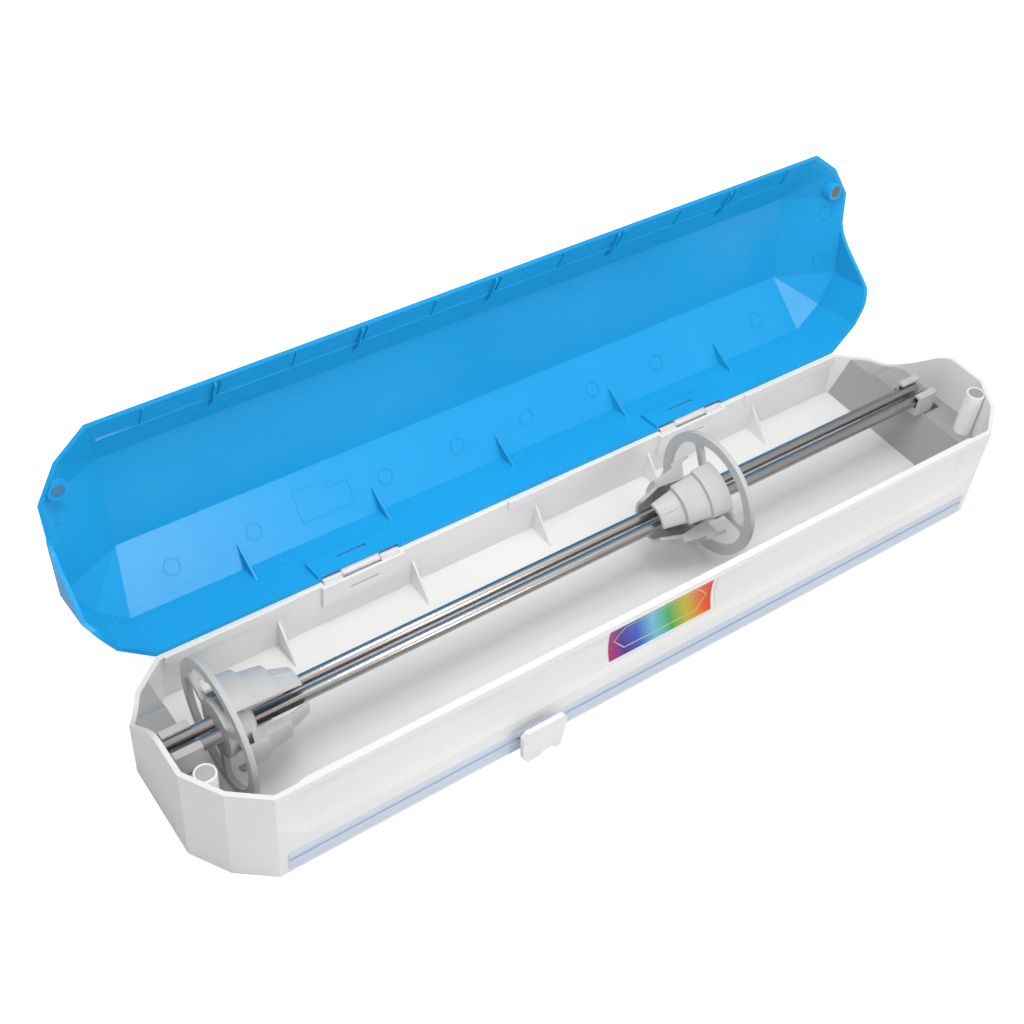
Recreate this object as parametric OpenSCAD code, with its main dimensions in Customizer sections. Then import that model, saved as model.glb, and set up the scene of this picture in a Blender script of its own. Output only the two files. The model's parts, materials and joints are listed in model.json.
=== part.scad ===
// Cling film dispenser: a faceted box with a hinged lid, two rods carrying a pair of
// stepped roll holders, and a slide cutter running in a rail along the front foot.
// X runs along the box, +Y points to the hinge side and +Z points up.
// The origin is the centre of the flat underside.

/* [Box] */
// Overall length of the box
box_l = 540; // [520:5:580]
// Width over the flat front and rear walls
box_w = 127; // [126:0.5:130]
// Height of the front rim above the table
front_h = 66.2; // [66:0.1:68]
// Height of the rear rim, where the lid is hinged
rear_h = 33.8; // [33:0.1:35]
// Wall thickness of both shells
wall = 2.6; // [2.4:0.1:2.8]
// Thickness of the floor
floor_t = 3; // [2.4:0.1:3.4]

/* [Lid] */
// Height of the closed lid above the table
closed_h = 88.2; // [88:0.1:92]
// Opening angle of the lid, 0 when closed
lid_angle = 99.2; // [0:0.2:99.2]
// Length of the flat roof panel
roof_l = 466; // [466:1:476]
// Width of the flat roof panel
roof_w = 59; // [54:1:66]

/* [Roll holders] */
// Radius of each stainless rod
rod_r = 3.5; // [3:0.1:3.6]
// Distance between the two rod axes
rod_gap = 8.7; // [8.4:0.1:9]
// Height of the rod axes above the table
rod_z = 44.6; // [44.4:0.1:45]
// Radius of the flange of a roll holder
flange_r = 38; // [36:0.5:38]
// Distance of the left holder's flange face from the centre of the box
left_x = 237; // [160:1:237]
// Distance of the right holder's flange face from the centre of the box
right_x = 77.7; // [30:0.1:225]

/* [Slide cutter] */
// Length of the clear rail
rail_l = 468; // [440:1:468]
// Position of the cutter along the rail
cutter_x = -90; // [-200:1:200]
// Width of the cutter's finger plate
knob_w = 28; // [22:1:32]

/* [Hidden] */
$fn = 96;
eps = 0.01;

// Plan outline of the box: the end wall and its two chamfers
end_half = 28.3;
mid_corner = [12.5, 49];
front_corner = 31;
corner_run = [
    [box_l / 2, end_half],
    [box_l / 2 - mid_corner.x, mid_corner.y],
    [box_l / 2 - front_corner, box_w / 2]
];
plan = concat(
    corner_run,
    [for (i = [2:-1:0]) [-corner_run[i].x, corner_run[i].y]],
    [for (p = corner_run) -p],
    [for (i = [2:-1:0]) [corner_run[i].x, -corner_run[i].y]]
);

// The rim is high at the front and dips to the hinge in a smooth S on the end walls
rim_start = -8;
rim_end = 40;
rim_steps = 20;
rim_gap = 0.3;

// Concave band of the front wall, a horizontal cylinder fading out towards the ends
scoop_r = 42;
scoop_y = -100;
scoop_z = 47;
scoop_half = 222;
scoop_end = 240;
scoop_depth = scoop_y + scoop_r + box_w / 2;
lip_h = 4.2;

// Foot of the front wall with the seat of the rail
foot_back = -57.6;
foot_h = 16;
rail_z = 9.8;
rail_h = 12.8;
rail_back = -60.4;
rail_front = -64.5;
slot_z = 11.5;
rail_slot = 2.2;
channel_h = 6.6;
channel_y = [-63.3, -61.3];

// Hinge
hinge_y = box_w / 2 + 0.1;
hinge_z = rear_h + 0.2;
hinge_x = 117.5;
hinge_w = 47.6;
barrel_r = 1.7;
pin_r = 0.8;
knuckle_h = 2.4;
leaf_y = [60.6, 61.8];
leaf_l = 12;
knuckle_w = 24;
boss_in = 58.9;
boss_w = 52;
boss_l = 16;
boss_chamfer = 1.5;
window_w = 18;

// Magnets
magnet_x = 258.3;
magnet_y = -33;
magnet_r = 4.6;
lid_magnet_r = 3.5;
magnet_h = 2;
post_r = 5.6;
post_top = front_h - 1.3;
socket_z = post_top + 0.4;

// Skin of the roof and the step of its inner panel from its outer one
roof_t = 2;
roof_step = 1.5;

// Ribs inside both shells
rib_pitch = 85;
rib_t = 1.2;
bead_y = 16.4;
edge_rib_x = 4;
edge_rib_pitch = 42.6;

// End cradles and the clips that hold the rods
cradle_h = 35;
clip_w = 19;
clip_l = 15;
clip_seat = 24;
clip_low = 35.4;
clip_root = 7.8;
ear_t = 1.5;
rod_right = 251;
hook_in = 5;
hook_t = 1.8;

// Roll holder, measured from the outer face of the flange: [distance, radius] of the
// outer skin of a petal, from its tip to its foot
petal = [[44.5, 12.8], [31.5, 16.8], [31.5, 19.6], [17, 21.6], [17, 24], [4, 24.8]];
skin = 1.7;
petal_half_angle = 38;
slot_angles = [62.3, 182.3, 302.3];
left_turn = -43.3;
web_angle = 36.5;
web_t = 1.8;
web_foot = 9.4;
flange_t = 3;
window_r = [15.6, 32.2];
window_corner = 2.5;
window_steps = 20;
corner_steps = 5;
spoke_w = 4;
hub_r = 14.6;
hub_len = 15;
core_r = 12;
core_lip_r = 13.4;
core_lip_t = 1;
core_len = 17;
run_gap = 0.05;

// Slide cutter
plate_t = 3;
plate_front = -73.5;
plate_z = [0.8, 26.5];
stem_w = 14;
stem_t = 1.8;
blade_t = 0.4;
blade_back = -62.4;
label_x = [-40.4, 29.9];
label_z = [31.5, 55.3];
label_t = 0.3;

// ---- helpers ----

// Outward unit normal of the edge from a to b in an anticlockwise outline
function edge_normal(a, b) = let (d = (b - a) / norm(b - a)) [d.y, -d.x];

// The outline pulled in by t with mitred corners
function inset(pts, t) = let (n = len(pts)) [
    for (i = [0:n - 1])
        let (
            n1 = edge_normal(pts[(i + n - 1) % n], pts[i]),
            n2 = edge_normal(pts[i], pts[(i + 1) % n])
        )
        pts[i] - t * (n1 + n2) / (1 + n1 * n2)
];

// Height of the rim at a distance y from the centre line
function rim_z(y) = let (t = (y - rim_start) / (rim_end - rim_start))
    front_h - (front_h - rear_h) * t * t * (3 - 2 * t);

rim_curve = [for (i = [0:rim_steps])
    let (y = rim_start + (rim_end - rim_start) * i / rim_steps) [y, rim_z(y)]];

// Sweeps a YZ outline along X
module along_x(l) {
    rotate([90, 0, 90]) linear_extrude(l, center = true) children();
}

// Cylinder along X
module rod_x(r, l, y = 0, z = 0) {
    translate([0, y, z]) rotate([0, 90, 0]) cylinder(r = r, h = l, center = true);
}

// Box from one corner to the other
module box(a, b) {
    translate(a) cube(b - a);
}

// Both ends of the box
module both_ends() {
    children();
    mirror([1, 0, 0]) children();
}

// Everything under the rim, raised by lift
module under_rim(lift = 0) {
    along_x(box_l + 10) translate([0, lift]) polygon(concat(
        [[-80, front_h]], rim_curve, [[80, rear_h], [80, -90], [-80, -90]]));
}

// Concave band, grown by t for the inner side of the wall
module scoop(t) {
    translate([0, scoop_y, scoop_z]) {
        rod_x(scoop_r + t, 2 * scoop_half);
        both_ends() translate([scoop_half - eps, 0, 0]) rotate([0, 90, 0])
            cylinder(r1 = scoop_r + t, r2 = scoop_r + t - scoop_depth, h = scoop_end - scoop_half);
    }
}

// Turns the closed lid about its hinge
module open_lid() {
    translate([0, hinge_y, hinge_z]) rotate([-lid_angle, 0, 0])
        translate([0, -hinge_y, -hinge_z]) children();
}

module hinge_barrel(r, l) {
    rod_x(r, l, hinge_y, hinge_z);
}

// Pocket of a hinge leaf with the clearance round the barrel
module hinge_pocket(z_low, z_high, w = hinge_w + 0.6) {
    both_ends() translate([hinge_x, 0, 0]) {
        box([-w / 2, leaf_y[0] - 0.1, z_low], [w / 2, leaf_y[1] + 0.1, z_high]);
        hinge_barrel(barrel_r + 0.4, w);
    }
}

// ---- base ----

module base_cavity() {
    difference() {
        translate([0, 0, floor_t]) linear_extrude(front_h) polygon(inset(plan, wall));
        scoop(wall);
        along_x(2 * scoop_end) polygon([[-70, 0], [foot_back, 0], [foot_back, foot_h],
            [-box_w / 2 + wall, foot_h + 4], [-70, foot_h + 4]]);
    }
}

module base_ribs() {
    for (i = [-2:2]) translate([i * rib_pitch, 0, 0]) along_x(rib_t)
        polygon([[box_w / 2 - 1, 2], [box_w / 2 - 1, 22], [box_w / 2 - wall, 22], [42, floor_t], [42, 2]]);
}

// Upstands on the rear rim that locate the lid edge
module rim_upstands() {
    y = box_w / 2 - wall;
    for (span = [[-236, -160], [-21, 21], [160, 236]]) {
        box([span[0], y - 2, rear_h - 4], [span[1], y - 0.25, rear_h + 2]);
        box([span[0], y - 2, rear_h - 4], [span[1], y + 1, rear_h - 1]);
    }
}

module base_boss() {
    both_ends() translate([hinge_x, 0, 0]) along_x(boss_w)
        polygon([[box_w / 2 - 1, rear_h - boss_l], [box_w / 2 - wall, rear_h - boss_l],
            [boss_in, rear_h - boss_l + boss_chamfer], [boss_in, rear_h], [box_w / 2 - 1, rear_h]]);
}

module magnet_posts() {
    both_ends() translate([magnet_x, magnet_y, floor_t - 1])
        cylinder(r = post_r, h = post_top - floor_t + 1);
}

module base_shell() {
    color("whitesmoke") difference() {
        union() {
            difference() {
                intersection() {
                    linear_extrude(front_h + 1) polygon(plan);
                    under_rim();
                }
                base_cavity();
                intersection() {
                    scoop(0);
                    translate([-box_l / 2, -box_w, foot_h + 4])
                        cube([box_l, box_w, front_h - lip_h - foot_h - 4]);
                }
            }
            base_ribs();
            rim_upstands();
            base_boss();
            magnet_posts();
        }
        both_ends() translate([magnet_x, magnet_y, post_top - magnet_h])
            cylinder(r = magnet_r, h = magnet_h + 1);
        box([-rail_l / 2, -80, rail_z - rail_h / 2], [rail_l / 2, rail_back, rail_z + rail_h / 2]);
        hinge_pocket(rear_h - leaf_l - 3, rear_h + 1);
        both_ends() translate([hinge_x, 0, 0]) {
            box([-hinge_w / 2 - 0.3, leaf_y[0] - 0.1, hinge_z - knuckle_h],
                [hinge_w / 2 + 0.3, box_w / 2 + 1, hinge_z + 1]);
            box([-window_w / 2, boss_in - 1, rear_h - 8.6], [window_w / 2, leaf_y[0], rear_h - 6.8]);
        }
        label_patch(label_x[0] - 14, label_x[1] + 3, label_z[0] - 1.5, label_z[1] + 1.5, 0, 0.4);
    }
}

// Patch that follows the concave band, from r0 to r1 behind its surface
module label_patch(x0, x1, z0, z1, r0, r1) {
    intersection() {
        box([x0, -box_w / 2, z0], [x1, -box_w / 4, z1]);
        difference() {
            rod_x(scoop_r + r1, 2 * scoop_half, scoop_y, scoop_z);
            if (r0 > 0) rod_x(scoop_r + r0, 2 * scoop_half + 2, scoop_y, scoop_z);
        }
    }
}

module front_label() {
    color("deepskyblue")
        label_patch(label_x[0], label_x[1], label_z[0], label_z[1], 0.4 - label_t, 0.4);
}

module base_magnets() {
    color("silver") translate([magnet_x, magnet_y, post_top - magnet_h])
        cylinder(r = magnet_r, h = magnet_h);
}

// ---- rods, cradles and clips ----

// The rods start at the left end wall and stop inside the right clip
module rod(y) {
    rod_left = wall + 0.5 - box_l / 2;
    color("lightslategray") translate([(rod_left + rod_right) / 2, 0, 0])
        rod_x(rod_r, rod_right - rod_left, y, rod_z);
}

// Block at the right end: its face leans from the foot x to the top x; the clip sits in its pocket
module cradle(foot_x, top_x, clip_x, pocket_x) {
    color("darkgray") difference() {
        intersection() {
            rotate([90, 0, 0]) linear_extrude(box_w, center = true)
                polygon([[foot_x, floor_t], [top_x, cradle_h], [box_l / 2, cradle_h], [box_l / 2, floor_t]]);
            linear_extrude(cradle_h + 1) polygon(inset(plan, wall));
            under_rim(-1.2);
        }
        translate([magnet_x, magnet_y, 0]) cylinder(r = post_r + 0.1, h = cradle_h + 1);
        box([clip_x + clip_root, -clip_w / 2 - 1, clip_seat], [pocket_x, clip_w / 2 + 7, cradle_h + 1]);
    }
}

// Snap clip that holds both rods side by side
module rod_clip(clip_x) {
    top = rod_z + rod_r + 0.2;
    color("darkgray") translate([clip_x, 0, 0]) {
        box([0, -clip_w / 2, clip_low], [clip_l, clip_w / 2, rod_z - rod_r]);
        box([clip_root, -clip_w / 2, clip_seat], [clip_l, clip_w / 2, clip_low + 1]);
        for (s = [0, 1]) mirror([0, s, 0]) {
            box([0, clip_w / 2 - ear_t, clip_low], [clip_l, clip_w / 2, top + hook_t]);
            box([0, hook_in, top], [clip_l, clip_w / 2, top + hook_t]);
        }
    }
}

// ---- roll holders, modelled with the flange face at x = 0 and the petals towards -X ----

// Solid of revolution about X from points [distance behind the flange face, radius]
module turned(pts) {
    rotate([0, 90, 0]) rotate_extrude() polygon([for (p = pts) [p[1], -p[0]]]);
}

module flange_disc(t) {
    translate([-flange_t / 2, 0, 0]) along_x(t) children();
}

function polar(r, a) = r * [cos(a), sin(a)];

// Corner arc of a window, centred at a distance r and an angle a from the axis
function corner_arc(r, a, from, to) = [for (i = [0:corner_steps])
    polar(r, a) + polar(window_corner, from + (to - from) * i / corner_steps)];

// Outline of the window between the spoke at angle 0 and the next one
function window_outline() = let (
    rows = [window_r[0] + window_corner, window_r[1] - window_corner],
    t = [for (r = rows) asin((spoke_w / 2 + window_corner) / r)]
) concat(
    corner_arc(rows[1], t[1], -90, t[1]),
    [for (i = [1:window_steps - 1]) polar(window_r[1], t[1] + (120 - 2 * t[1]) * i / window_steps)],
    corner_arc(rows[1], 120 - t[1], 120 - t[1], 210),
    corner_arc(rows[0], 120 - t[0], 210, 300 - t[0]),
    [for (i = [window_steps - 1:-1:1]) polar(window_r[0], t[0] + (120 - 2 * t[0]) * i / window_steps)],
    corner_arc(rows[0], t[0], 180 + t[0], 270)
);

// Wedges centred on the spokes of the flange
module wedges(half) {
    r = 2 * flange_r;
    for (a = slot_angles) rotate(a)
        polygon([[0, 0], [r * cos(half), -r * sin(half)], [r * cos(half), r * sin(half)]]);
}

// Stepped skin of the petals, cut to three sectors between the slots
module petal_skins() {
    inner = [[petal[5][0], petal[5][1] - skin], for (i = [4:-1:1]) petal[i] - [skin, skin],
        [petal[0][0], petal[0][1] - skin]];
    intersection() {
        turned(concat(petal, inner));
        translate([-petal[0][0] / 2, 0, 0]) along_x(petal[0][0] + 2) rotate(60) wedges(petal_half_angle);
    }
}

// Webs along both edges of each petal, from the hub out into the skin
module petal_webs() {
    for (a = slot_angles, s = [-1, 1])
        rotate([a + 60 + s * web_angle, 0, 0]) linear_extrude(web_t, center = true) polygon([
            [-web_foot - 3, hub_r - 1], [1 - hub_len, hub_r - 1],
            [-petal[1][0] - 1.5, petal[1][1] - 1.5], [skin / 2 - petal[1][0], petal[1][1] - skin / 2],
            [skin / 2 - petal[2][0], petal[2][1] - skin / 2],
            [skin / 2 - petal[3][0], petal[3][1] - skin / 2],
            [skin / 2 - petal[4][0], petal[4][1] - skin / 2], [-web_foot, petal[5][1] - skin / 2 - 0.3]]);
}

module roll_cone() {
    color("lightgray") difference() {
        union() {
            flange_disc(flange_t) difference() {
                circle(r = flange_r);
                for (a = slot_angles) rotate(a) polygon(window_outline());
            }
            turned([[0, 0], [0, hub_r], [hub_len, hub_r], [hub_len, 0]]);
            petal_skins();
            petal_webs();
        }
        turned([[hub_len + 1, 0], [hub_len + 1, core_r + run_gap], [-1, core_r + run_gap], [-1, 0]]);
        turned([[core_lip_t + 0.2, 0], [core_lip_t + 0.2, core_lip_r + 0.2],
            [-1, core_lip_r + 0.2], [-1, 0]]);
    }
}

// Guide that slides on both rods and carries the cone
module slider_core() {
    color("gainsboro") difference() {
        turned([[0, 0], [0, core_lip_r], [core_lip_t, core_lip_r], [core_lip_t, core_r],
            [core_len - 1, core_r], [core_len, core_r - 1], [core_len, 0]]);
        for (s = [-1, 1])
            rod_x(rod_r + run_gap, 3 * core_len, s * rod_gap / 2);
    }
}

module core_ring() {
    color("dimgray") turned([[hub_len + 0.2, core_r], [hub_len + 0.2, core_lip_r],
        [hub_len + 0.9, core_lip_r], [hub_len + 0.9, core_r]]);
}

module at_right() {
    translate([right_x, 0, rod_z]) children();
}

module at_left() {
    mirror([1, 0, 0]) translate([left_x, 0, rod_z]) children();
}

// ---- lid, modelled closed ----

module roof(inset_t, low, top, l, w) {
    hull() {
        translate([0, 0, low]) linear_extrude(eps) polygon(inset(plan, inset_t));
        translate([-l / 2, -w / 2, top - eps]) cube([l, w, eps]);
    }
}

module lid_rib_blade() {
    for (i = [-2:2]) translate([i * rib_pitch, 0, 0]) along_x(rib_t)
        polygon([[box_w / 2 - 1, 54], [box_w / 2 - wall, 54], [48, 74.3], [49, 74.6],
            [box_w / 2 - 1, front_h + 0.3]]);
}

module lid_boss() {
    both_ends() translate([hinge_x, 0, 0]) along_x(boss_w)
        polygon([[box_w / 2 - 1, rear_h + rim_gap], [boss_in, rear_h + rim_gap],
            [boss_in, rear_h + boss_l - boss_chamfer],
            [box_w / 2 - wall, rear_h + boss_l], [box_w / 2 - 1, rear_h + boss_l]]);
}

module lid_sockets() {
    intersection() {
        both_ends() translate([magnet_x, magnet_y, socket_z]) cylinder(r = post_r, h = 20);
        union() {
            linear_extrude(front_h + 1) polygon(inset(plan, wall + rim_gap));
            roof(0.5, front_h + rim_gap, closed_h - 1, roof_l, roof_w);
        }
    }
}

// Bead along the front slope of the lid and the short ribs between it and the edge
module lid_front_bead() {
    slope = atan2(closed_h - roof_t - front_h, box_w / 2 - wall - roof_w / 2 + roof_step);
    translate([0, -box_w / 2 + wall, front_h]) rotate([slope, 0, 0]) {
        box([-roof_l / 2, bead_y - 0.9, -1.2], [roof_l / 2, bead_y, 0.6]);
        for (i = [-5:5])
            box([edge_rib_x + i * edge_rib_pitch - 0.4, 1.5, -0.8],
                [edge_rib_x + i * edge_rib_pitch + 0.4, bead_y - 0.5, 0.6]);
    }
}

module lid_shell() {
    color("dodgerblue") open_lid() difference() {
        union() {
            difference() {
                union() {
                    translate([0, 0, rear_h]) linear_extrude(front_h - rear_h) polygon(plan);
                    roof(0, front_h, closed_h, roof_l, roof_w);
                }
                linear_extrude(front_h + eps) polygon(inset(plan, wall));
                roof(wall, front_h, closed_h - roof_t, roof_l - 2 * roof_step, roof_w - 2 * roof_step);
                under_rim(rim_gap);
            }
            lid_rib_blade();
            lid_boss();
            lid_sockets();
            lid_front_bead();
        }
        both_ends() translate([magnet_x, magnet_y, socket_z - 1])
            cylinder(r = lid_magnet_r, h = magnet_h + 1);
        hinge_pocket(rear_h - 1, rear_h + leaf_l + 3.4);
        both_ends() translate([hinge_x, 0, 0]) {
            box([-hinge_w / 2 - 0.3, leaf_y[0] - 0.1, rear_h - 1],
                [hinge_w / 2 + 0.3, box_w / 2 + 1, hinge_z + knuckle_h]);
            box([-window_w / 2, boss_in - 1, rear_h + 8.6], [window_w / 2, leaf_y[0], rear_h + 10.4]);
        }
    }
}

module lid_magnet() {
    color("silver") translate([magnet_x, magnet_y, socket_z]) cylinder(r = lid_magnet_r, h = magnet_h);
}

// ---- hinges ----

// Leaf in the base: plate and the two outer knuckles
module base_leaf() {
    color("ghostwhite") translate([hinge_x, 0, 0]) difference() {
        union() {
            box([-hinge_w / 2, leaf_y[0], rear_h - leaf_l - 2.6],
                [hinge_w / 2, leaf_y[1], hinge_z - knuckle_h + 0.3]);
            for (s = [0, 1]) mirror([s, 0, 0]) {
                translate([hinge_w / 4 + knuckle_w / 4 + 0.1, 0, 0])
                    hinge_barrel(barrel_r, hinge_w / 2 - knuckle_w / 2 - 0.2);
                box([knuckle_w / 2 + 0.2, leaf_y[0], hinge_z - knuckle_h],
                    [hinge_w / 2, hinge_y - 0.6, hinge_z - 0.1]);
            }
        }
        hinge_barrel(pin_r, hinge_w + 2);
    }
}

// Leaf in the lid: plate and the centre knuckle
module lid_leaf() {
    color("ghostwhite") open_lid() translate([hinge_x, 0, 0]) difference() {
        union() {
            box([-hinge_w / 2, leaf_y[0], hinge_z + knuckle_h - 0.3],
                [hinge_w / 2, leaf_y[1], rear_h + leaf_l + 3]);
            hinge_barrel(barrel_r, knuckle_w - 0.2);
            box([-knuckle_w / 2 + 0.1, leaf_y[0], hinge_z + 0.1],
                [knuckle_w / 2 - 0.1, hinge_y - 0.6, hinge_z + knuckle_h]);
        }
        hinge_barrel(pin_r + run_gap, hinge_w + 2);
    }
}

module hinge_pin() {
    color("silver") translate([hinge_x, 0, 0]) hinge_barrel(pin_r, hinge_w);
}

// ---- slide cutter ----

module cutter_rail() {
    color([0.8, 0.84, 0.93, 0.8]) difference() {
        box([-rail_l / 2, rail_front, rail_z - rail_h / 2], [rail_l / 2, rail_back, rail_z + rail_h / 2]);
        box([-rail_l, channel_y[0], slot_z - channel_h / 2], [rail_l, channel_y[1], slot_z + channel_h / 2]);
        box([-rail_l, rail_front - 1, slot_z - rail_slot / 2],
            [rail_l, channel_y[0] + 1, slot_z + rail_slot / 2]);
    }
}

// Finger plate: a rounded trapezoid with an arched notch under it, and its stem
module cutter_knob() {
    r = 2.5;
    lean = 1.5;
    mid = (plate_z[0] + plate_z[1]) / 2;
    color("white") translate([cutter_x, 0, 0]) difference() {
        union() {
            difference() {
                translate([0, plate_front + plate_t, 0]) rotate([90, 0, 0]) linear_extrude(plate_t)
                    polygon([[-knob_w / 2 + lean + 3.5, plate_z[0]], [knob_w / 2 - lean - 1.2, plate_z[0]],
                        [knob_w / 2 - lean, plate_z[0] + 1.2], [knob_w / 2, plate_z[1] - 3],
                        [knob_w / 2 - r, plate_z[1]], [-knob_w / 2 + r, plate_z[1]],
                        [-knob_w / 2, plate_z[1] - 3], [-knob_w / 2 + lean, plate_z[0] + 5]]);
                translate([3.5, plate_front + 1, plate_z[0] - 2.2]) rotate([90, 0, 0])
                    cylinder(r = 5.5, h = 3 * plate_t, center = true);
            }
            box([-stem_w / 2, plate_front + 1, slot_z - stem_t / 2],
                [stem_w / 2, channel_y[0] + 0.1, slot_z + stem_t / 2]);
        }
        box([-stem_w, plate_front + plate_t, slot_z - blade_t / 2], [stem_w, 0, slot_z + blade_t / 2]);
    }
}

// Flat shoe that rides inside the rail
module cutter_shoe() {
    color("ivory") translate([cutter_x, 0, 0]) difference() {
        box([-12, channel_y[0] + 0.1, slot_z - channel_h / 2 + 0.1],
            [12, channel_y[1] - 0.1, slot_z + channel_h / 2 - 0.1]);
        box([-13, -80, slot_z - blade_t / 2], [13, blade_back, slot_z + blade_t / 2]);
    }
}

// Double-edged blade in the slit of the stem
module cutter_blade() {
    front = plate_front + plate_t;
    color("silver") translate([cutter_x, 0, slot_z - blade_t / 2]) linear_extrude(blade_t)
        polygon([[-11, blade_back], [11, blade_back], [9.5, front], [-9.5, front]]);
}

base_shell();
mirror([1, 0, 0]) cradle(247.5, 249, 248, 263.6);  // left_cradle
cradle(240.3, 247.4, 240, 261.3);  // right_cradle
mirror([1, 0, 0]) rod_clip(248);  // left_rod_clip
rod_clip(240);  // right_rod_clip
rod(rod_gap / 2);  // rear_rod
rod(-rod_gap / 2);  // front_rod
mirror([1, 0, 0]) base_magnets();  // left_base_magnet
base_magnets();  // right_base_magnet
cutter_rail();
front_label();
mirror([1, 0, 0]) base_leaf();  // left_hinge_base_leaf
base_leaf();  // right_hinge_base_leaf
mirror([1, 0, 0]) hinge_pin();  // left_hinge_pin
hinge_pin();  // right_hinge_pin
lid_shell();
open_lid() mirror([1, 0, 0]) lid_magnet();  // left_lid_magnet
open_lid() lid_magnet();  // right_lid_magnet
mirror([1, 0, 0]) lid_leaf();  // left_hinge_lid_leaf
lid_leaf();  // right_hinge_lid_leaf
at_left() slider_core();  // left_slider_core
at_left() core_ring();  // left_core_ring
at_left() rotate([left_turn, 0, 0]) roll_cone();  // left_roll_cone
at_right() slider_core();  // right_slider_core
at_right() core_ring();  // right_core_ring
at_right() roll_cone();  // right_roll_cone
cutter_knob();
cutter_shoe();
cutter_blade();
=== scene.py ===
import json
import math

import bmesh
import bpy
from mathutils import Matrix, Vector


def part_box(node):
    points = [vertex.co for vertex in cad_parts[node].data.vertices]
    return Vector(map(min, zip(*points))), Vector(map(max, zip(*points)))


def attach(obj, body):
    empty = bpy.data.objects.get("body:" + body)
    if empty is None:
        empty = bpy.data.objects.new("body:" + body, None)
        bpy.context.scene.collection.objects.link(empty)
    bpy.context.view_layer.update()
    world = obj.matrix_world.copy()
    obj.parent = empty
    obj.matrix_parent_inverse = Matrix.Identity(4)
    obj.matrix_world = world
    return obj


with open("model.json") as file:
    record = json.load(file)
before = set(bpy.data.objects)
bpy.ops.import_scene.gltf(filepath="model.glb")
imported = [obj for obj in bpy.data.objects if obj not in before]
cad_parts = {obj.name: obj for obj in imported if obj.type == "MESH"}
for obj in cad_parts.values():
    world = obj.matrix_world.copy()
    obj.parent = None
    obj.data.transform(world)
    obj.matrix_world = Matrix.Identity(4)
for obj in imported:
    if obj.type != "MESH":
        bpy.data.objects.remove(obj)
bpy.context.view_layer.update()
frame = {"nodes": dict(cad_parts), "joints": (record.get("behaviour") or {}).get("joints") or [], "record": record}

MM = 0.001

# ---- places taken from the frame ----

base_lo, base_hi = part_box("base_shell")
label_lo, label_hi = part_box("front_label")
right_cone_lo, right_cone_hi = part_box("right_roll_cone")
left_cone_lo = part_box("left_roll_cone")[0]
cone_axis_z = (right_cone_lo.z + right_cone_hi.z) / 2
hinge = next(j for j in frame["joints"] if j["name"] == "lid_hinge")
HINGE = Vector(hinge["pos_m"])
LID_OPEN = math.radians(-hinge["range_deg"][0])
OPEN_LID = Matrix.Translation(HINGE) @ Matrix.Rotation(-LID_OPEN, 4, "X") @ Matrix.Translation(-HINGE)

# ---- shape of the mouldings, as in the CAD ----

WALL = 2.6 * MM  # walls of the base and of the lid
FLOOR = 3 * MM  # floor of the base
ROOF_END = 231.5 * MM  # half length of the lid's flat roof
ROOF_HALF = 28 * MM  # half width of the lid's flat roof
ROOF_INNER = 86.2 * MM  # height of the roof's inner face, lid closed
SLOPE_FOOT = Vector((base_hi.y - WALL, base_hi.z))  # foot of the lid's long slopes, as (y, z)
SLOPE_TOP = Vector((ROOF_HALF, ROOF_INNER))
SCOOP_RADIUS = 42.1 * MM  # concave band of the front wall
SCOOP_CENTRE_Y = -100 * MM
SCOOP_CENTRE_Z = 47 * MM

# ---- moulded details ----

EDGE_ROUND = 0.25 * MM  # on the sharp edges of the CAD nodes
SUNK = 0.1 * MM  # depth by which a raised detail is set into its surface
RING_OUTER = 5 * MM  # ejector rings inside the lid
RING_INNER = 4 * MM
RING_RISE = 0.4 * MM
RING_BEVEL = 0.2 * MM
REAR_SLOPE_RINGS = [-207.6, -158.6, -75, -25.8, 24, 73.6, 124, 207.6]  # x in mm
REAR_RING_UP = 16.8 * MM  # distance up the rear slope
END_SLOPE_RINGS = [(1, 16.6), (1, -16.6), (-1, -14)]  # end of the lid, y in mm
END_RING_UP = 10.9 * MM
RIB_PITCH = 85 * MM
RIB_SIDES = (-0.5 * MM, 0.5 * MM)  # both faces of a rib, from its middle
INSERT_X = -114 * MM  # middle of the mould insert's mark
INSERT_UP = 18 * MM
INSERT_LINE = 0.9 * MM
INSERT_RISE = 0.35 * MM
FLOOR_DOTS = [(-74.8, 47.3), (-39.5, -1.2), (46.6, 56)]  # x and y in mm
DOT_OUTER = 1.5 * MM
DOT_INNER = 0.9 * MM
DOT_RISE = 0.2 * MM
WELD_LINE_X = 210 * MM
WELD_LINE_HALF = 0.3 * MM
WELD_LINE_RISE = 0.15 * MM
WELD_LINE_FRONT = 9 * MM  # gaps between the line's ends and the outside of the base
WELD_LINE_REAR = 4 * MM
PETALS = 3
RIGHT_PETAL_ANGLE = 122.3  # degrees about the cone's axis
LEFT_PETAL_ANGLE = RIGHT_PETAL_ANGLE - 43.3
PETAL_TIP = 43.5 * MM  # start of a petal's rib, from the flange
PETAL_RIB_LENGTH = 11 * MM
PETAL_RIB_RISE = 0.6 * MM
PETAL_RIB_SUNK = 0.3 * MM
PETAL_RIB_THIN = 0.3 * MM  # half width of a rib's thin end
PETAL_RIB_SWELL = 1.2 * MM  # and what its belly adds
PETAL_TIP_RADIUS = 12.8 * MM  # outer skin at the end of a petal
PETAL_END = 44.5 * MM
PETAL_TAPER = 4 / 13  # growth of the radius per length, towards the flange
HEXAGON_SIDE_MARGIN = 3 * MM  # gaps between the gilt outline and the edges of the foil
HEXAGON_EDGE_MARGIN = 4 * MM
HEXAGON_NOTCH = 7 * MM  # length of the pointed end
HEXAGON_LINE = 0.6 * MM
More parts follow.
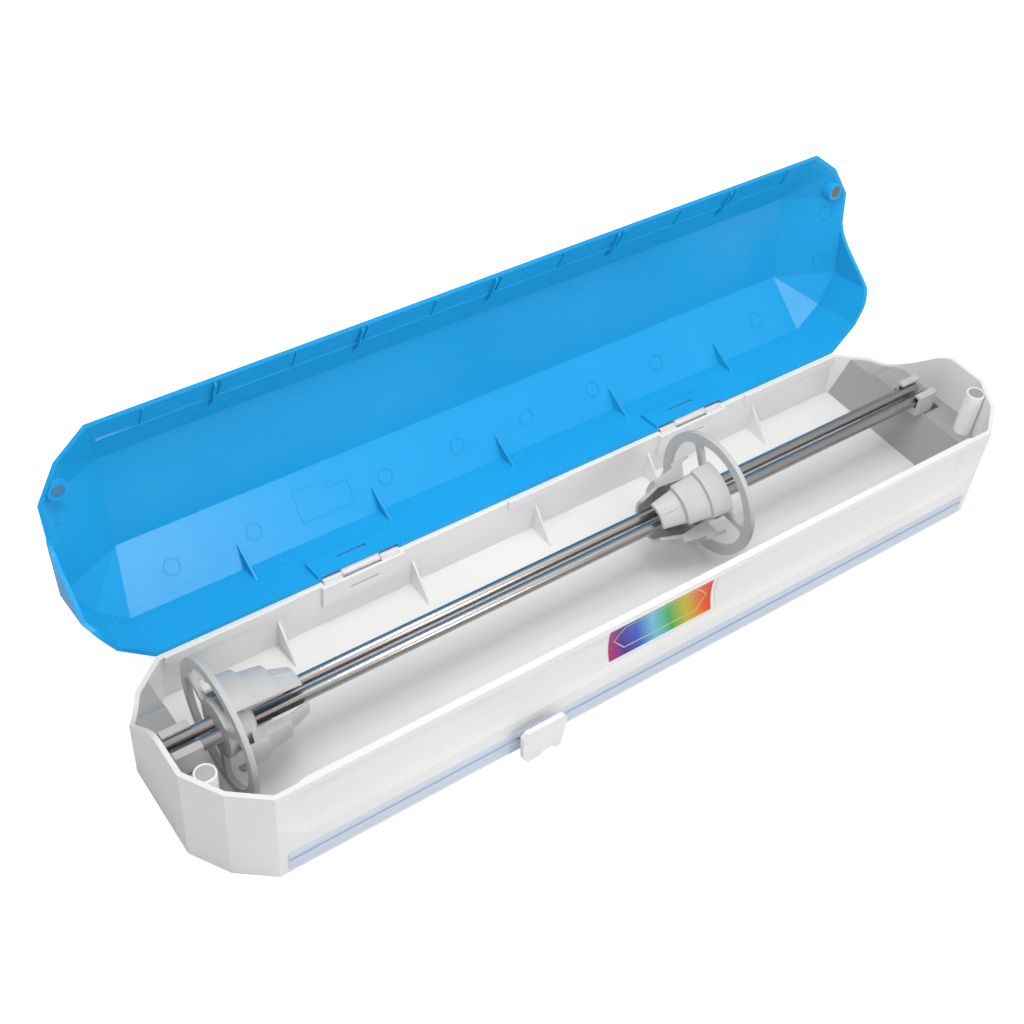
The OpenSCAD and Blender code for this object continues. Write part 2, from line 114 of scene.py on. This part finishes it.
HEXAGON_SUNK = 0.25 * MM
HEXAGON_PROUD = 0.08 * MM
HEXAGON_STEPS = 24  # pieces in each side, so that the line follows the concave foil

# ---- camera and light ----

CAMERA_PLACE = Vector((-0.4077, -0.4162, 0.6564))
CAMERA_AIM = Vector((-0.0018, 0.0796, 0))
CAMERA_ROLL = math.radians(5.94)
CAMERA_LENS = 53.58
SKY_SLOPE = (0.03, -0.19, 0.29)  # change of the surround's brightness along x, y and z
SKY_LEVEL = 0.415
SKY_LEAST = 0.15  # brightness that no part of the surround falls below
FLOOR_GLOW = 0.7  # extra brightness of the floor where the camera sees it


# ---- shader graphs ----

def feed(tree, socket, value):
    """Links an input to another node's output, or sets it to a value."""
    if isinstance(value, bpy.types.NodeSocket):
        tree.links.new(value, socket)
    else:
        socket.default_value = value


def math_node(tree, kind, a, b):
    made = tree.nodes.new("ShaderNodeMath")
    made.operation = kind
    feed(tree, made.inputs[0], a)
    feed(tree, made.inputs[1], b)
    return made.outputs[0]


class Graph:
    """A material's node tree with short ways to add nodes and links."""

    def __init__(self, name):
        self.material = bpy.data.materials.new(name)
        self.material.use_nodes = True
        self.tree = self.material.node_tree
        self.shader = self.tree.nodes["Principled BSDF"]

    def node(self, kind, **inputs):
        made = self.tree.nodes.new(kind)
        for name, value in inputs.items():
            self.set(made, name.replace("_", " "), value)
        return made

    def set(self, node, name, value):
        feed(self.tree, node.inputs[name], value)

    def surface(self, **inputs):
        for name, value in inputs.items():
            self.set(self.shader, name.replace("_", " "), value)

    def place(self, scale=(1, 1, 1)):
        """Object coordinates in metres, stretched by scale."""
        coords = self.node("ShaderNodeTexCoord")
        mapping = self.node("ShaderNodeMapping", Vector=coords.outputs["Object"], Scale=scale)
        return mapping.outputs["Vector"]

    def noise(self, scale, detail=3, stretch=(1, 1, 1), roughness=0.55):
        made = self.node("ShaderNodeTexNoise", Vector=self.place(stretch), Scale=scale, Detail=detail,
                         Roughness=roughness)
        return made.outputs["Fac"]

    def span(self, value, low, high, from_low=0.3, from_high=0.7):
        made = self.node("ShaderNodeMapRange", Value=value)
        self.set(made, "From Min", from_low)
        self.set(made, "From Max", from_high)
        self.set(made, "To Min", low)
        self.set(made, "To Max", high)
        return made.outputs["Result"]

    def mix(self, factor, a, b):
        """Colour between a and b."""
        made = self.node("ShaderNodeMix")
        made.data_type = "RGBA"
        for index, value in ((0, factor), (6, a), (7, b)):
            feed(self.tree, made.inputs[index], value)
        return made.outputs[2]

    def ramp(self, factor, stops):
        made = self.node("ShaderNodeValToRGB", Fac=factor)
        ramp = made.color_ramp
        while len(ramp.elements) < len(stops):
            ramp.elements.new(0.5)
        for element, (position, colour) in zip(ramp.elements, stops):
            element.position = position
            element.color = colour
        return made.outputs["Color"]

    def bump(self, height, strength, distance, normal=None):
        made = self.node("ShaderNodeBump", Height=height, Strength=strength, Distance=distance)
        if normal is not None:
            self.set(made, "Normal", normal)
        return made.outputs["Normal"]

    def math(self, kind, a, b):
        return math_node(self.tree, kind, a, b)


def linear(v):
    """A screen level of 0 to 255 as a linear one of 0 to 1."""
    v = v / 255
    return v / 12.92 if v <= 0.04045 else ((v + 0.055) / 1.055) ** 2.4


def rgb(r, g, b):
    """A screen colour of 0 to 255 as linear RGBA."""
    return (linear(r), linear(g), linear(b), 1)


def moulded_plastic(name, light, dark, roughness, gloss=0.5, bounce=None):
    """Injection moulded plastic: cloudy colour, fine grain, faint scuffs and uneven gloss.

    bounce is the colour of its light on the pieces around it, where that differs from its own.
    """
    g = Graph(name)
    cloud = g.noise(9, detail=4)
    speck = g.noise(900, detail=2)
    scuff = g.noise(70, detail=6, stretch=(0.25, 1, 1), roughness=0.7)
    colour = g.mix(g.span(cloud, 0, 1), light, dark)
    colour = g.mix(g.span(speck, 0, 0.06), colour, dark)
    if bounce:
        colour = g.mix(g.node("ShaderNodeLightPath").outputs["Is Diffuse Ray"], colour, bounce)
    scuffed = g.span(scuff, 0, 0.06, 0.55, 0.8)
    rough = g.math("ADD", g.span(cloud, roughness - 0.03, roughness + 0.05), scuffed)
    fine = g.bump(speck, 0.06, 0.1 * MM)
    wave = g.bump(g.noise(22, detail=2), 0.12, 0.6 * MM, fine)
    g.surface(Base_Color=colour, Roughness=rough, Normal=wave, IOR=1.49)
    g.set(g.shader, "Specular IOR Level", gloss)
    return g.material


def drawn_steel(name, tint, roughness, along=(1, 1, 1), relief=0.14):
    """Bright steel with draw lines along one direction."""
    g = Graph(name)
    lines = g.noise(2600, detail=3, stretch=along)
    stain = g.noise(26, detail=4)
    colour = g.mix(g.span(stain, 0, 0.25), tint, rgb(150, 148, 146))
    rough = g.math("ADD", g.span(lines, roughness - 0.05, roughness + 0.07), g.span(stain, 0, 0.05))
    g.surface(Base_Color=colour, Metallic=1.0, Roughness=rough, Normal=g.bump(lines, relief, 0.05 * MM))
    return g.material


def clear_extrusion(name):
    """Milky clear profile with draw lines along X, tiny haze streaks and a painted glow."""
    g = Graph(name)
    lines = g.noise(1500, detail=2, stretch=(0.01, 1, 1))
    haze = g.noise(30, detail=3, stretch=(0.15, 1, 1))
    colour = g.mix(g.span(haze, 0, 1), rgb(192, 201, 214), rgb(180, 190, 206))
    # The emission is a painted glow, standing in for light that shines through the clear plastic.
    g.surface(Base_Color=colour, Roughness=g.span(lines, 0.14, 0.3), IOR=1.46,
              Normal=g.bump(lines, 0.2, 0.1 * MM), Emission_Color=rgb(196, 208, 226), Emission_Strength=0.22)
    g.set(g.shader, "Transmission Weight", 0.1)
    g.set(g.shader, "Coat Weight", 0.3)
    return g.material


def rainbow_foil(name):
    """Foil whose colour runs through the rainbow from left to right."""
    g = Graph(name)
    coords = g.node("ShaderNodeTexCoord")
    split = g.node("ShaderNodeSeparateXYZ", Vector=coords.outputs["Object"])
    lean = 0.25
    across = g.math("ADD", split.outputs["X"], g.math("MULTIPLY", split.outputs["Z"], lean))
    along = g.span(across, 0, 1, label_lo.x + lean * label_lo.z, label_hi.x + lean * label_hi.z)
    hues = [rgb(205, 20, 95), rgb(72, 36, 150), rgb(40, 92, 200), rgb(110, 196, 222), rgb(56, 176, 84),
            rgb(196, 184, 30), rgb(236, 96, 8), rgb(220, 8, 12)]
    colour = g.ramp(along, [(i / (len(hues) - 1), hue) for i, hue in enumerate(hues)])
    sparkle = g.noise(1400, detail=2)
    wrinkle = g.noise(160, detail=4, stretch=(0.4, 1, 1))
    # White specks painted into the foil's colour: painted glints.
    colour = g.mix(g.span(sparkle, 0, 0.03), colour, (1, 1, 1, 1))
    g.surface(Base_Color=colour, Roughness=g.span(sparkle, 0.25, 0.4), Normal=g.bump(wrinkle, 0.12, 0.1 * MM))
    g.set(g.shader, "Specular IOR Level", 0.3)
    return g.material


def paint(obj, material):
    obj.data.materials.clear()
    obj.data.materials.append(material)


LOOKS = {
    "base_white": moulded_plastic("white_moulding", rgb(244, 243, 242), rgb(238, 238, 237), 0.34),
    "lid_blue": moulded_plastic("blue_moulding", rgb(31, 172, 241), rgb(24, 164, 234), 0.24, gloss=0.28,
                                bounce=rgb(172, 186, 196)),
    "holder_grey": moulded_plastic("grey_moulding", rgb(202, 202, 202), rgb(192, 192, 193), 0.42),
    "core_grey": moulded_plastic("core_moulding", rgb(196, 196, 198), rgb(184, 184, 187), 0.45),
    "hinge_white": moulded_plastic("hinge_moulding", rgb(232, 230, 232), rgb(220, 218, 222), 0.4),
    "knob_white": moulded_plastic("knob_moulding", rgb(240, 240, 240), rgb(234, 234, 235), 0.28),
    "rod_steel": drawn_steel("rod_stainless", rgb(176, 174, 172), 0.2, along=(0.004, 0.5, 0.5), relief=0.025),
    "pin_steel": drawn_steel("pin_stainless", rgb(200, 200, 200), 0.25, along=(0.02, 1, 1)),
    "magnet_nickel": drawn_steel("magnet_plating", rgb(226, 224, 220), 0.25),
    "blade_steel": drawn_steel("blade_ground", rgb(200, 202, 206), 0.25, along=(1, 0.05, 1)),
    "rail_clear": clear_extrusion("clear_profile"),
    "label_foil": rainbow_foil("foil"),
}
# Painted shade: the cradles are the holders' grey plastic, given this darker copy of it where they stand in shade.
painted_shade_grey = moulded_plastic("painted_shade_grey_moulding", rgb(176, 176, 175), rgb(166, 166, 166), 0.42)
NODE_LOOKS = {
    "left_cradle": painted_shade_grey,
    "right_cradle": painted_shade_grey,
    "right_lid_magnet": drawn_steel("lid_magnet_bronze", rgb(150, 128, 104), 0.3),
    "left_lid_magnet": drawn_steel("lid_magnet_blue", rgb(84, 170, 226), 0.4),
}


def dress_cad_nodes():
    """Gives each CAD node its material."""
    for part in frame["record"]["subparts"]:
        node = frame["nodes"][part["node"]]
        paint(node, NODE_LOOKS.get(part["node"], LOOKS[part["material_slot"]]))


def round_edges(name, width):
    """Small rounds on a node's sharp edges, after its flat faces are made whole."""
    node = frame["nodes"][name]
    weld = node.modifiers.new("weld", "WELD")
    weld.merge_threshold = 0.002 * MM
    flat = node.modifiers.new("flat", "DECIMATE")
    flat.decimate_type = "DISSOLVE"
    flat.angle_limit = math.radians(0.4)
    bevel = node.modifiers.new("edges", "BEVEL")
    bevel.width = width
    bevel.segments = 2
    bevel.limit_method = "ANGLE"
    bevel.angle_limit = math.radians(32)
    bevel.harden_normals = True


def soften_cad_nodes():
    """Rounds every node but those whose thin or curved walls would crease."""
    for name in frame["nodes"]:
        if not name.endswith("cradle") and name != "front_label":
            round_edges(name, EDGE_ROUND)


dress_cad_nodes()
soften_cad_nodes()


# ---- small moulded details, each riding on its body ----

def piece(name, shape, body, slot, material=None):
    """Turns a built bmesh into a shaded piece that rides on a body."""
    bmesh.ops.recalc_face_normals(shape, faces=shape.faces)
    mesh = bpy.data.meshes.new(name)
    shape.to_mesh(mesh)
    shape.free()
    obj = bpy.data.objects.new(name, mesh)
    bpy.context.scene.collection.objects.link(obj)
    paint(obj, material or LOOKS[slot])
    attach(obj, body)
    return obj


def facing(origin, normal, along=(1, 0, 0)):
    """Frame with its Z along normal and its X close to along."""
    z = Vector(normal).normalized()
    y = z.cross(Vector(along)).normalized()
    return Matrix.Translation(origin) @ Matrix((y.cross(z), y, z)).transposed().to_4x4()


def bridge(shape, rows):
    """Faces between each row of points and the next one. A row closes on itself."""
    for a, b in rows:
        for j in range(len(a)):
            k = (j + 1) % len(a)
            shape.faces.new((a[j], a[k], b[k], b[j]))


def closed_pairs(rows):
    return list(zip(rows, rows[1:] + rows[:1]))


def lathe(shape, profile, place, steps=40):
    """Closed ring turned from [radius, height] points round the Z of place."""
    rows = []
    for i in range(steps):
        turn = 2 * math.pi * i / steps
        points = [Vector((r * math.cos(turn), r * math.sin(turn), h)) for r, h in profile]
        rows.append([shape.verts.new(place @ p) for p in points])
    bridge(shape, closed_pairs(rows))


def loft(shape, rings):
    """Solid through rings of equally many points, capped at both ends."""
    rows = [[shape.verts.new(p) for p in ring] for ring in rings]
    bridge(shape, zip(rows, rows[1:]))
    shape.faces.new(rows[0])
    shape.faces.new(rows[-1][::-1])


def outline_band(shape, points, width, low, high, place):
    """Closed flat band just inside an outline, narrowed towards its middle."""
    centre = sum((Vector(p) for p in points), Vector((0, 0))) / len(points)
    arms = [Vector(p) - centre for p in points]

    def ring(inset, h):
        flat = [centre + arm * (1 - inset / arm.length) for arm in arms]
        return [shape.verts.new(place @ Vector((*p, h))) for p in flat]

    bridge(shape, closed_pairs([ring(0, low), ring(0, high), ring(width, high), ring(width, low)]))


def lid_slope_frame(x, up_slope, side=1):
    """Frame on the inner face of a long slope of the lid: the rear one, or with side -1 the front one."""
    foot = Vector((x, side * SLOPE_FOOT.x, SLOPE_FOOT.y))
    top = Vector((x, side * SLOPE_TOP.x, SLOPE_TOP.y))
    run = (top - foot).normalized()
    normal = Vector((1, 0, 0)).cross(run) * side
    return OPEN_LID @ facing(foot + run * up_slope, normal)


def lid_end_frame(side, y, up_slope):
    """Frame on the inner face of an end slope of the lid."""
    foot = Vector((side * (base_hi.x - WALL), y, base_hi.z))
    run = (Vector((side * ROOF_END, y, ROOF_INNER)) - foot).normalized()
    return OPEN_LID @ facing(foot + run * up_slope, side * run.cross(Vector((0, 1, 0))), (0, 1, 0))


def lid_ejector_rings():
    """Raised rings that the ejector pins leave inside the lid."""
    shape = bmesh.new()
    ring = [(RING_OUTER, -SUNK), (RING_OUTER - RING_BEVEL, RING_RISE), (RING_INNER + RING_BEVEL, RING_RISE),
            (RING_INNER, -SUNK)]
    for x in REAR_SLOPE_RINGS:
        lathe(shape, ring, lid_slope_frame(x * MM, REAR_RING_UP))
    for side, y in END_SLOPE_RINGS:
        lathe(shape, ring, lid_end_frame(side, y * MM, END_RING_UP))
    piece("lid_ejector_rings", shape, "lid", "lid_blue")


def lid_front_ribs():
    """Low blades across the bead of the front slope, in line with the ribs of the rear wall."""
    shape = bmesh.new()
    outline = [(1, -0.2), (2.5, 1.5), (17, 2.4), (28, -0.2)]  # mm up the slope and off it
    for i in range(-2, 3):
        place = lid_slope_frame(i * RIB_PITCH, 0, -1)
        loft(shape, [[place @ Vector((dx, -up * MM, h * MM)) for up, h in outline] for dx in RIB_SIDES])
    piece("lid_front_ribs", shape, "lid", "lid_blue")


def lid_insert_mark():
    """Raised edge of a mould insert on the rear slope."""
    shape = bmesh.new()
    corners = [(-17, -8), (17, -8), (17, 6), (4, 6), (4, 11), (-17, 11)]  # mm
    outline = [(x * MM, y * MM) for x, y in corners]
    outline_band(shape, outline, INSERT_LINE, -SUNK, INSERT_RISE, lid_slope_frame(INSERT_X, INSERT_UP))
    piece("lid_insert_mark", shape, "lid", "lid_blue")


def floor_marks():
    """Ejector marks and the weld line on the floor of the base."""
    shape = bmesh.new()
    level = base_lo.z + FLOOR
    ring = [(DOT_OUTER, -SUNK), (DOT_OUTER, DOT_RISE), (DOT_INNER, DOT_RISE), (DOT_INNER, -SUNK)]
    for x, y in FLOOR_DOTS:
        lathe(shape, ring, facing((x * MM, y * MM, level), (0, 0, 1)))
    section = [(-WELD_LINE_HALF, -SUNK), (WELD_LINE_HALF, -SUNK), (0, WELD_LINE_RISE)]
    ends = (base_lo.y + WELD_LINE_FRONT, base_hi.y - WELD_LINE_REAR)
    loft(shape, [[Vector((WELD_LINE_X + dx, y, level + h)) for dx, h in section] for y in ends])
    piece("floor_marks", shape, "base", "base_white")


def petal_rib_rings(flange_x, toward, angle):
    """Cross-sections of a teardrop rib on the outer skin of the petal at an angle."""
    turn = math.radians(angle)
    out = Vector((0, math.cos(turn), math.sin(turn)))
    side = Vector((0, -math.sin(turn), math.cos(turn)))
    steps = 8
    spread = 3
    rings = []
    for step in range(steps + 1):
        s = step / steps
        along = PETAL_TIP - PETAL_RIB_LENGTH * s
        skin = PETAL_TIP_RADIUS + PETAL_TAPER * (PETAL_END - along)
        half = PETAL_RIB_THIN + PETAL_RIB_SWELL * math.sin(math.pi * (0.12 + s * 0.8)) ** 0.8
        height = PETAL_RIB_SUNK + PETAL_RIB_RISE * math.sin(math.pi * (0.1 + s * 0.87))
        middle = Vector((flange_x + toward * along, 0, cone_axis_z)) + out * (skin - PETAL_RIB_SUNK)
        across = [k / spread for k in range(-spread, spread + 1)]
        rings.append([middle + out * height * math.sqrt(1 - t * t) + side * half * t for t in across])
    return rings


def petal_ribs(name, body, flange_x, toward, petal_angle):
    """A teardrop rib on each petal of a cone. toward is the way from flange to tip, along x."""
    shape = bmesh.new()
    for i in range(PETALS):
        loft(shape, petal_rib_rings(flange_x, toward, petal_angle + i * 360 / PETALS))
    piece(name, shape, body, "holder_grey")


def hexagon_points(half_x, half_z):
    """Elongated hexagon with each side cut into short pieces."""
    notch = half_x - HEXAGON_NOTCH
    corners = [(-half_x, 0), (-notch, -half_z), (notch, -half_z), (half_x, 0), (notch, half_z),
               (-notch, half_z)]
    sides = [(Vector(a), Vector(b)) for a, b in closed_pairs(corners)]
    return [a.lerp(b, i / HEXAGON_STEPS) for a, b in sides for i in range(HEXAGON_STEPS)]


def label_border():
    """Thin raised gilt outline, an elongated hexagon, on the foil."""
    shape = bmesh.new()
    centre = (label_lo + label_hi) / 2
    half_x = (label_hi.x - label_lo.x) / 2 - HEXAGON_SIDE_MARGIN
    half_z = (label_hi.z - label_lo.z) / 2 - HEXAGON_EDGE_MARGIN
    points = hexagon_points(half_x, half_z)

    def ring(inset, depth):
        """Points on the foil, depth behind its face."""
        row = []
        for x, z in points:
            x = centre.x + x * (1 - inset / half_x)
            z = centre.z + z * (1 - inset / half_z)
            y = SCOOP_CENTRE_Y + math.sqrt(SCOOP_RADIUS ** 2 - (z - SCOOP_CENTRE_Z) ** 2)
            row.append(shape.verts.new((x, y + depth, z)))
        return row

    outer = [ring(0, HEXAGON_SUNK), ring(0, -HEXAGON_PROUD)]
    inner = [ring(HEXAGON_LINE, -HEXAGON_PROUD), ring(HEXAGON_LINE, HEXAGON_SUNK)]
    bridge(shape, closed_pairs(outer + inner))
    piece("label_border", shape, "base", "label_foil", drawn_steel("gilt", rgb(238, 214, 150), 0.3))


lid_ejector_rings()
lid_front_ribs()
lid_insert_mark()
floor_marks()
petal_ribs("right_petal_ribs", "right_cone", right_cone_hi.x, -1, RIGHT_PETAL_ANGLE)
petal_ribs("left_petal_ribs", "left_cone", left_cone_lo.x, 1, LEFT_PETAL_ANGLE)
label_border()


# ---- studio ----

def floor():
    """Pale paper, brighter where the camera sees it."""
    bpy.ops.mesh.primitive_plane_add(size=8, location=(0, 0, base_lo.z - 0.1 * MM))
    plane = bpy.context.object
    plane.name = "studio_floor"
    g = Graph("studio_paper")
    fibre = g.noise(400, detail=3)
    g.surface(Base_Color=g.mix(g.span(fibre, 0, 1), rgb(230, 230, 230), rgb(226, 226, 226)), Roughness=0.9)
    seen = g.node("ShaderNodeLightPath").outputs["Is Camera Ray"]
    g.surface(Emission_Color=(1, 1, 1, 1), Emission_Strength=g.math("MULTIPLY", seen, FLOOR_GLOW))
    paint(plane, g.material)


def softbox(name, place, aim, size, power):
    """Rectangular lamp at a place, turned to its aim."""
    light = bpy.data.lights.new(name, "AREA")
    light.shape = "RECTANGLE"
    light.size, light.size_y = size
    light.energy = power
    lamp = bpy.data.objects.new(name, light)
    lamp.location = place
    lamp.rotation_euler = (Vector(aim) - Vector(place)).to_track_quat("-Z", "Y").to_euler()
    bpy.context.scene.collection.objects.link(lamp)


def studio():
    scene = bpy.context.scene
    scene.view_settings.view_transform = "Standard"
    scene.world = studio_sky()
    softbox("key_light", place=(0.22, -1.6, 1.08), aim=(-0.2, 0.1, 0.04), size=(0.36, 0.5), power=5.6)
    softbox("top_light", place=(0.15, -0.35, 1.7), aim=(0, 0, 0), size=(1.4, 1.4), power=4.1)
    softbox("end_light", place=(-0.1, -0.02, 0.6), aim=(0.27, 0, 0.05), size=(0.25, 0.15), power=1.3)


def studio_sky():
    """Soft surround: bright from the front and above, dim from behind and below, white to the camera."""
    world = bpy.data.worlds.new("studio_world")
    world.use_nodes = True
    tree = world.node_tree
    background = tree.nodes["Background"]
    background.inputs["Color"].default_value = (1, 1, 1, 1)
    slope = tree.nodes.new("ShaderNodeVectorMath")
    slope.operation = "DOT_PRODUCT"
    feed(tree, slope.inputs[0], tree.nodes.new("ShaderNodeTexCoord").outputs["Generated"])
    feed(tree, slope.inputs[1], SKY_SLOPE)
    level = math_node(tree, "ADD", slope.outputs["Value"], SKY_LEVEL)
    seen = tree.nodes.new("ShaderNodeLightPath").outputs["Is Camera Ray"]
    lit = math_node(tree, "MAXIMUM", level, SKY_LEAST)
    feed(tree, background.inputs["Strength"], math_node(tree, "MAXIMUM", lit, seen))
    return world


def camera():
    """Camera at the viewing angle of the photograph."""
    data = bpy.data.cameras.new("camera")
    data.lens = CAMERA_LENS
    data.sensor_width = 36
    data.clip_start = 0.01
    cam = bpy.data.objects.new("camera", data)
    level_view = (CAMERA_AIM - CAMERA_PLACE).to_track_quat("-Z", "Y").to_matrix().to_4x4()
    cam.matrix_world = Matrix.Translation(CAMERA_PLACE) @ level_view @ Matrix.Rotation(CAMERA_ROLL, 4, "Z")
    bpy.context.scene.collection.objects.link(cam)
    bpy.context.scene.camera = cam


floor()
studio()
camera()
